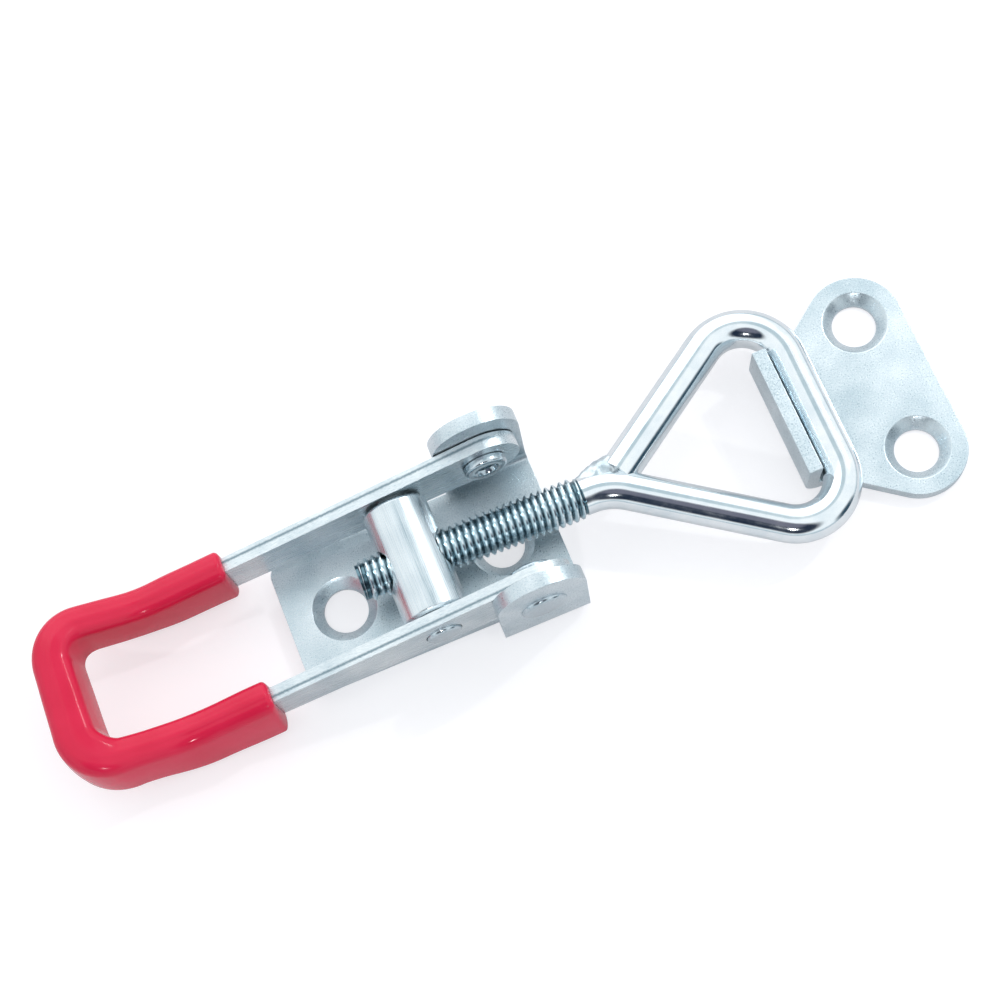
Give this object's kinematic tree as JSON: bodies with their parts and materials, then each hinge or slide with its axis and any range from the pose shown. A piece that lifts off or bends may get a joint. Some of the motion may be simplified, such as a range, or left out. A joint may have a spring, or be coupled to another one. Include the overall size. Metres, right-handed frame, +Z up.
{
  "type": "adjustable toggle latch",
  "caption": "Adjustable toggle latch: a U-shaped lever with a coated handle draws a screwed loop against a separate catch plate; both plates screw to a flat panel.",
  "frame": {"origin": "midway between the two screw holes of the base plate, on the mounting face", "axes": "+X from the handle towards the catch plate, +Z up from the mounting face"},
  "size_m": [0.1281, 0.035, 0.0202],
  "materials": {
    "zinc_plate": "bright zinc plate on sheared sheet",
    "zinc_strip": "bright zinc plate on bent strip",
    "zinc_turned": "bright zinc plate on turned steel",
    "zinc_rod": "bright zinc plate on drawn rod",
    "red_vinyl": "glossy dipped vinyl"
  },
  "bodies": {
    "base": {"base_plate": "zinc_plate", "near_pivot_rivet": "zinc_turned", "far_pivot_rivet": "zinc_turned", "catch_plate": "zinc_plate"},
    "lever": {"lever": "zinc_strip", "handle_grip": "red_vinyl"},
    "trunnion": {"trunnion": "zinc_turned"},
    "draw_bolt": {"draw_bolt": "zinc_rod"}
  },
  "joints": [
    {"name": "lever_pivot", "type": "hinge", "parent": "base", "child": "lever", "pos_m": [0.0134, 0, 0.0114], "axis": [0, 1, 0], "range_deg": [0, 165]},
    {"name": "trunnion_pivot", "type": "hinge", "parent": "lever", "child": "trunnion", "pos_m": [-0.0001, 0, 0.0095], "axis": [0, 1, 0], "range_deg": [-165, 0]},
    {"name": "bolt_adjust", "type": "slide", "parent": "trunnion", "child": "draw_bolt", "axis": [0.9972, 0, -0.0747], "range_m": [0, 0.004]}
  ],
  "couplings": [
    {"joint": "trunnion_pivot", "follows": "lever_pivot", "ratio": -1}
  ]
}
